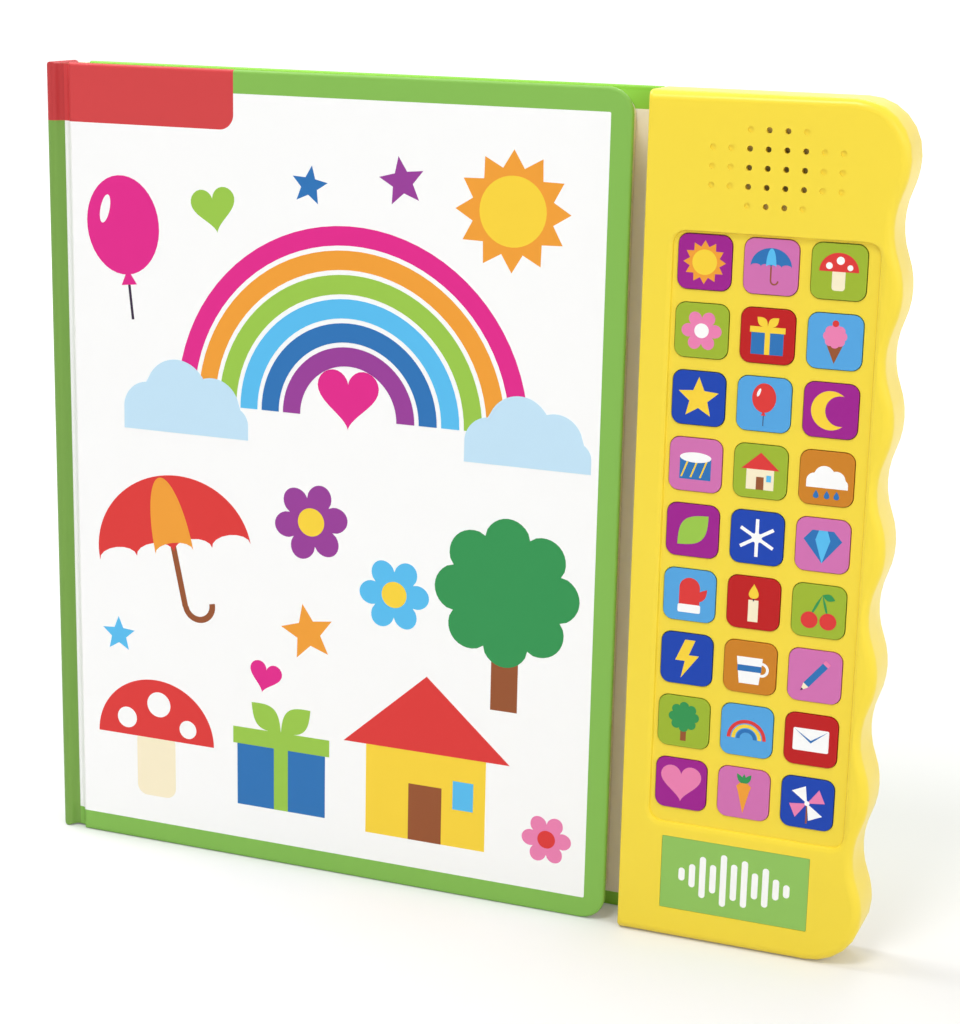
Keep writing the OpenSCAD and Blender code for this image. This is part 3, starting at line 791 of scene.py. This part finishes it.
# Each motif with the place of its middle, half its width, its turn and the layers of print below it
COVER_ART = [
    (arches(BOW, 1.0, 0.1, 0.025), 110.0, 158.0, 62.0, 0.0),
    (cloud("pale_sky"), 50.0, 158.0, 24.0, 0.0, len(BOW)),
    (cloud("pale_sky"), 171.0, 158.0, 22.0, 0.0, len(BOW)),
    (sun("orange", "yellow"), 165.0, 228.0, 19.0),
    (balloon("magenta"), 29.0, 208.0, 24.0, 6.0),
    (hearts("magenta"), 110.0, 164.0, 10.8),
    (umbrella("red", "orange"), 46.0, 106.0, 31.0, 12.0),
    (flower("purple", "yellow"), 97.0, 122.0, 14.0, 10.0),
    (flower("sky", "yellow"), 127.0, 101.0, 13.0),
    (stars("orange"), 96.0, 84.0, 10.0, 12.0),
    (tree("leaf"), 166.0, 98.0, 33.0),
    (mushroom("red"), 38.0, 38.0, 25.0),
    (gift("blue", "lime"), 86.0, 38.0, 22.0),
    (house("yellow", "red"), 139.0, 45.0, 33.0),
    (flower("pink", "red"), 182.0, 25.0, 9.0),
    (hearts("magenta"), 80.0, 66.0, 6.0, -12.0),
    (stars("sky"), 24.0, 74.0, 6.5),
    (stars("purple"), 128.0, 235.0, 8.0, 10.0),
    (stars("blue"), 96.0, 232.0, 6.5, -8.0),
    (hearts("lime"), 62.0, 222.0, 8.0, 10.0),
]
cover_shapes = [shape for motif in COVER_ART for shape in layered(*motif)]
printed("cover_art", "front_cover", cover_shapes, 0.0)

# Keys
# Half a motif's width as a share of the key's height with its flange, and the radius of a key's edges
MOTIF_SHARE = 0.364
KEY_EDGE = 0.3
SMALL_BOW = placed(arches(["red", "yellow", "blue"], 1, 0.18, 0.06), 0, -0.4, 0.95)
KEYS = [
    [("purple", sun("orange", "yellow")), ("pink", umbrella("blue", "sky")), ("lime", mushroom("red"))],
    [("lime", flower("pink", "white")), ("red", gift("blue", "yellow")), ("sky", cone("pink", "red"))],
    [("blue", stars("yellow")), ("sky", balloon("red")), ("purple", moon("yellow"))],
    [("pink", drum("blue", "yellow")), ("lime", house("cream", "red")), ("orange", cloud("white", "blue"))],
    [("purple", leaf("lime")), ("blue", snowflake("white")), ("pink", gem("blue", "sky"))],
    [("sky", mitten("red", "white")), ("red", candle("cream", "yellow")), ("lime", cherries("red"))],
    [("blue", bolt("yellow")), ("orange", cup("white", "blue")), ("pink", pencil("blue"))],
    [("lime", tree("leaf")), ("sky", SMALL_BOW), ("red", envelope("white", "blue"))],
    [("purple", hearts("pink")), ("pink", carrot("orange")), ("blue", pinwheel("pink", "white"))],
]
KEY_MATERIALS = {name: moulded("key_" + name, rgb, KEY_GLOSS) for name, rgb in KEY_COLOURS.items()}
key_motifs = {
    f"key_{row}_{column}": key for row, line in enumerate(KEYS, 1) for column, key in enumerate(line, 1)
}
for name, (colour, motif) in key_motifs.items():
    dress(name, KEY_MATERIALS[colour])
    soften(nodes[name], KEY_EDGE)
    x0, x1, y0, y1, top = book_box(name)
    shapes = layered(motif, (x0 + x1) / 2, (y0 + y1) / 2, (y1 - y0) * MOTIF_SHARE)
    printed(name + "_print", name, shapes, top)

# Keypad
# The rubber sheet stays in place on the module, with a dome on it for each key
SHEET_T = 1.0
SHEET_R = 1.0
DOME_SIDES = 24
# Share of a key's width and of the dome's height at each ring
DOME_RINGS = ((0.337, 0.0), (0.325, 0.3), (0.285, 0.65), (0.245, 0.88), (0.228, 1.0))


def keypad():
    """The sheet, and a dome on it for each key."""
    x0, x1, y0, y1, top = book_box("keypad")
    base = top - depth_of("keypad")
    sheet_top = base + SHEET_T
    mesh = bmesh.new()
    skinned(mesh, [[(x, y, h) for x, y in box(x0, y0, x1, y1, SHEET_R)] for h in (base, sheet_top)])
    sheet = new_piece("keypad_sheet", mesh, [SILICONE])
    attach(sheet, "module")
    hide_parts("keypad")
    for name in key_motifs:
        dome(name, sheet_top, top)


def dome(key, base, top):
    """A dome between the sheet and its key."""
    x0, x1, y0, y1, _ = book_box(key)
    x, y, width = (x0 + x1) / 2, (y0 + y1) / 2, x1 - x0
    mesh = bmesh.new()
    skinned(mesh, [
        [(u, v, base + (top - base) * share) for u, v in ellipse(x, y, width * r, steps=DOME_SIDES)]
        for r, share in DOME_RINGS
    ])
    for face in mesh.faces:
        face.smooth = True
    piece = new_piece(key + "_dome", mesh, [SILICONE])
    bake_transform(piece)
    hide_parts("keypad")


keypad()

# Label
# White sound bars, each with its share of the tallest one's height, and that one's share of the label's
BARS = (0.25, 0.45, 0.8, 0.55, 1.0, 0.7, 0.9, 0.5, 0.75, 0.4, 0.25)
BAR_HEIGHT = 0.72
# A bar's width as a share of their spacing, its corners as a share of half that, and the spaces at the sides
BAR_WIDTH = 0.6
BAR_ROUNDING = 0.97
SIDE_STEPS = 2


def label_art():
    x0, x1, y0, y1, top = book_box("front_label")
    step = (x1 - x0) / (len(BARS) - 1 + 2 * SIDE_STEPS)
    half = step * BAR_WIDTH / 2
    middle = (y0 + y1) / 2
    shapes = []
    for k, share in enumerate(BARS, SIDE_STEPS):
        x, reach = x0 + step * k, share * BAR_HEIGHT * (y1 - y0) / 2
        bar = box(x - half, middle - reach, x + half, middle + reach, half * BAR_ROUNDING)
        shapes.append(("white", bar, 0))
    printed("label_art", "module", shapes, top)


label_art()

# Hinge grooves
# The covering lies on the boards' rounded edges as a thin film, and dips into the groove between them
GROOVE_DEPTH = 2.3
STRIP_T = 0.3
STRIP_INSET = 0.5
FILM = 0.02
SPINE_EDGE_R = 1.6
BOARD_EDGE_R = 0.9
GROOVE_STEPS = 12
# Angles round a board's edge at which the covering has a point, in degrees
SHOULDER_TURNS = (13, 30, 47, 63)
WALL_SLOPE = math.tan(math.radians(SHOULDER_TURNS[-1]))


def shoulder(edge_x, r, side):
    """Points (x, out) just over a board's rounded edge; side is 1 where it faces away from the spine."""
    turns = [math.radians(t) for t in SHOULDER_TURNS]
    over = r + FILM
    return [(edge_x + side * (over * math.sin(t) - r), over * math.cos(t) - r) for t in turns]


def valley(start, low, slope):
    """Points (x, out) of a curve that leaves a shoulder at that slope and flattens at the low point."""
    run, fall = low[0] - start[0], low[1] - start[1]
    made = []
    for k in range(1, GROOVE_STEPS + 1):
        t = k / GROOVE_STEPS
        lean = slope * run * t * (1 - t) ** 2
        made.append((start[0] + run * t, start[1] + lean + fall * t * t * (3 - 2 * t)))
    return made


def groove_section():
    """Points (x, out) of the covering's outer face across the groove, and of its inner face."""
    near = shoulder(SPINE_W, SPINE_EDGE_R, 1)
    far = shoulder(COVER_LEFT, BOARD_EDGE_R, -1)
    low = ((near[-1][0] + far[-1][0]) / 2, -GROOVE_DEPTH)
    down = valley(near[-1], low, -WALL_SLOPE)
    rise = valley(far[-1], low, WALL_SLOPE)[-2::-1]
    inner = [(x, o - 2 * FILM) for x, o in near[1:]] + [(x, o - STRIP_T) for x, o in down + rise]
    return near + down + rise + far[::-1], inner + [(x, o - 2 * FILM) for x, o in far[:0:-1]]


def groove_ink(x, y, front):
    """The print on the covering at that point."""
    # Over the spine the covering takes the darkened spine colours, which are painted shade
    if x < FIELD_LEFT:
        return "spine_red_painted_shade" if y > TAB_BOTTOM else "spine_green_painted_shade"
    if not front:
        return "back_green"
    if y > TAB_BOTTOM:
        return "red_tab"
    return "white" if BORDER_BOTTOM < y < BOOK_H - BORDER_TOP else "green"


def strip(name, node, front):
    """The covering across a groove, in place of the joint node, which is hidden."""
    inks = ["spine_green_painted_shade", "spine_red_painted_shade", "green", "back_green", "white", "red_tab", "cream"]
    low, high = STRIP_INSET, BOOK_H - STRIP_INSET
    breaks = sorted([low, BORDER_BOTTOM, TAB_BOTTOM, BOOK_H - BORDER_TOP, high])
    outer, inner = groove_section()
    section = [(x, o if front else -BOOK_T - o) for x, o in outer + inner[::-1]]
    mesh = bmesh.new()
    bands, _ = skinned(mesh, [[(x, y, o) for x, o in section] for y in breaks])
    for faces, a, b in zip(bands, breaks, breaks[1:]):
        y = (a + b) / 2
        for k, face in enumerate(faces):
            x = (section[k - 1][0] + section[k][0]) / 2
            face.material_index = inks.index(groove_ink(x, y, front) if 0 < k < len(outer) else "cream")
            face.smooth = True
    piece = new_piece(name, mesh, [INKS[ink_name] for ink_name in inks])
    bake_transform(piece)
    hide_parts(node)


strip("front_groove", "front_joint", True)
strip("rear_groove", "rear_joint", False)

# Room, light and camera
# Places and sizes in metres, power in watts, angles in degrees
AMBIENT_LEFT = 0.2
AMBIENT_RIGHT = 0.84
FLOOR_REACH = 30.0
FLOOR_DROP = 0.0001
# Distances over which the floor's own white comes in, and how strong it is at each
LIFT_FROM, LIFT_TO = 0.25, 1.6
LIFT_NEAR, LIFT_FAR = 0.1, 0.75
# Each lamp's name, place, target, width and power
LAMPS = [
    ("left", (-0.7, 0.05, 1.2), (0.0, 0.0, 0.0), 0.7, 8.5),
    ("top", (-0.2, -1.06, 1.94), (0.0, 0.0, 0.14), 0.66, 14.8),
    ("front", (1.0, -0.9, 0.8), (0.0, 0.0, 0.13), 0.8, 3.0),
    ("side", (1.3, -0.15, 0.5), (0.1, 0.0, 0.12), 0.7, 1.5),
    ("rear", (0.0, 1.1, 1.3), (0.0, 0.0, 0.13), 0.6, 4.0),
]
# The camera's lens and sensor are in its own millimetres; it turns left, tips down and leans a little
CAMERA_LENS = 79.563
CAMERA_SENSOR = 36.0
CAMERA_PLACE = (0.26485, -0.6577, 0.3074)
CAMERA_TURN = 21.127
CAMERA_TIP = -14.09
CAMERA_LEAN = 1.27
scene = bpy.context.scene


def seen(tree):
    """1 where a camera, mirror or glass looks at the room itself."""
    path = tree.nodes.new("ShaderNodeLightPath")
    total = path.outputs["Is Camera Ray"]
    for name in ("Is Glossy Ray", "Is Transmission Ray"):
        either = tree.nodes.new("ShaderNodeMath")
        either.operation = "MAXIMUM"
        tree.links.new(total, either.inputs[0])
        tree.links.new(path.outputs[name], either.inputs[1])
        total = either.outputs[0]
    return total


def make_world():
    """White to look at, and a soft light that is stronger from the right."""
    world = bpy.data.worlds.new("studio")
    scene.world = world
    world.use_nodes = True
    tree = world.node_tree
    sky = tree.nodes["Background"]
    sky.inputs["Color"].default_value = (1, 1, 1, 1)
    direction = tree.nodes.new("ShaderNodeSeparateXYZ")
    tree.links.new(tree.nodes.new("ShaderNodeTexCoord").outputs["Generated"], direction.inputs[0])
    light = tree.nodes.new("ShaderNodeMapRange")
    for place, value in (("From Min", -1.0), ("To Min", AMBIENT_LEFT), ("To Max", AMBIENT_RIGHT)):
        light.inputs[place].default_value = value
    tree.links.new(direction.outputs["X"], light.inputs[0])
    level = tree.nodes.new("ShaderNodeMapRange")
    tree.links.new(seen(tree), level.inputs[0])
    tree.links.new(light.outputs[0], level.inputs["To Min"])
    tree.links.new(level.outputs[0], sky.inputs["Strength"])


def make_floor():
    """Pale paper that turns white away from the book and keeps its shadow."""
    data = bpy.data.meshes.new("floor")
    corners = [(x * FLOOR_REACH, y * FLOOR_REACH, 0) for x, y in ((-1, -1), (1, -1), (1, 1), (-1, 1))]
    data.from_pydata(corners, [], [(0, 1, 2, 3)])
    floor = bpy.data.objects.new("floor", data)
    floor.location.z = -FLOOR_DROP
    scene.collection.objects.link(floor)
    paper = Surface("floor", FLOOR_GREY, roughness=0.8)
    paper.shader.inputs["Specular IOR Level"].default_value = 0.0
    paper.shader.inputs["Emission Color"].default_value = (1, 1, 1, 1)
    lift = paper.spread(paper.vector("LENGTH", paper.coords.outputs["Object"]), LIFT_NEAR, LIFT_FAR)
    lift.node.inputs["From Min"].default_value = LIFT_FROM
    lift.node.inputs["From Max"].default_value = LIFT_TO
    paper.set("Emission Strength", paper.maths("MULTIPLY", seen(paper.tree), lift))
    data.materials.append(paper.material)


def lamp(name, place, target, size, power):
    """A round soft lamp that the camera doesn't see."""
    data = bpy.data.lights.new(name, "AREA")
    data.shape = "DISK"
    data.size = size
    data.energy = power
    light = bpy.data.objects.new(name, data)
    light.location = place
    light.rotation_euler = (Vector(target) - Vector(place)).to_track_quat("-Z", "Y").to_euler()
    light.visible_camera = False
    scene.collection.objects.link(light)


def make_camera():
    """The photograph's viewpoint, right of the book and a little above it."""
    camera = bpy.data.cameras.new("camera")
    camera.lens = CAMERA_LENS
    camera.sensor_width = CAMERA_SENSOR
    view = bpy.data.objects.new("camera", camera)
    pose = Matrix.Translation(CAMERA_PLACE)
    # A camera that isn't turned looks straight down
    for axis, angle in (("Z", CAMERA_TURN), ("X", 90 + CAMERA_TIP), ("Z", CAMERA_LEAN)):
        pose = pose @ Matrix.Rotation(math.radians(angle), 4, axis)
    view.matrix_world = pose
    scene.collection.objects.link(view)
    scene.camera = view


make_world()
make_floor()
for settings in LAMPS:
    lamp(*settings)
make_camera()
scene.view_settings.view_transform = "Standard"

bpy.context.view_layer.update()
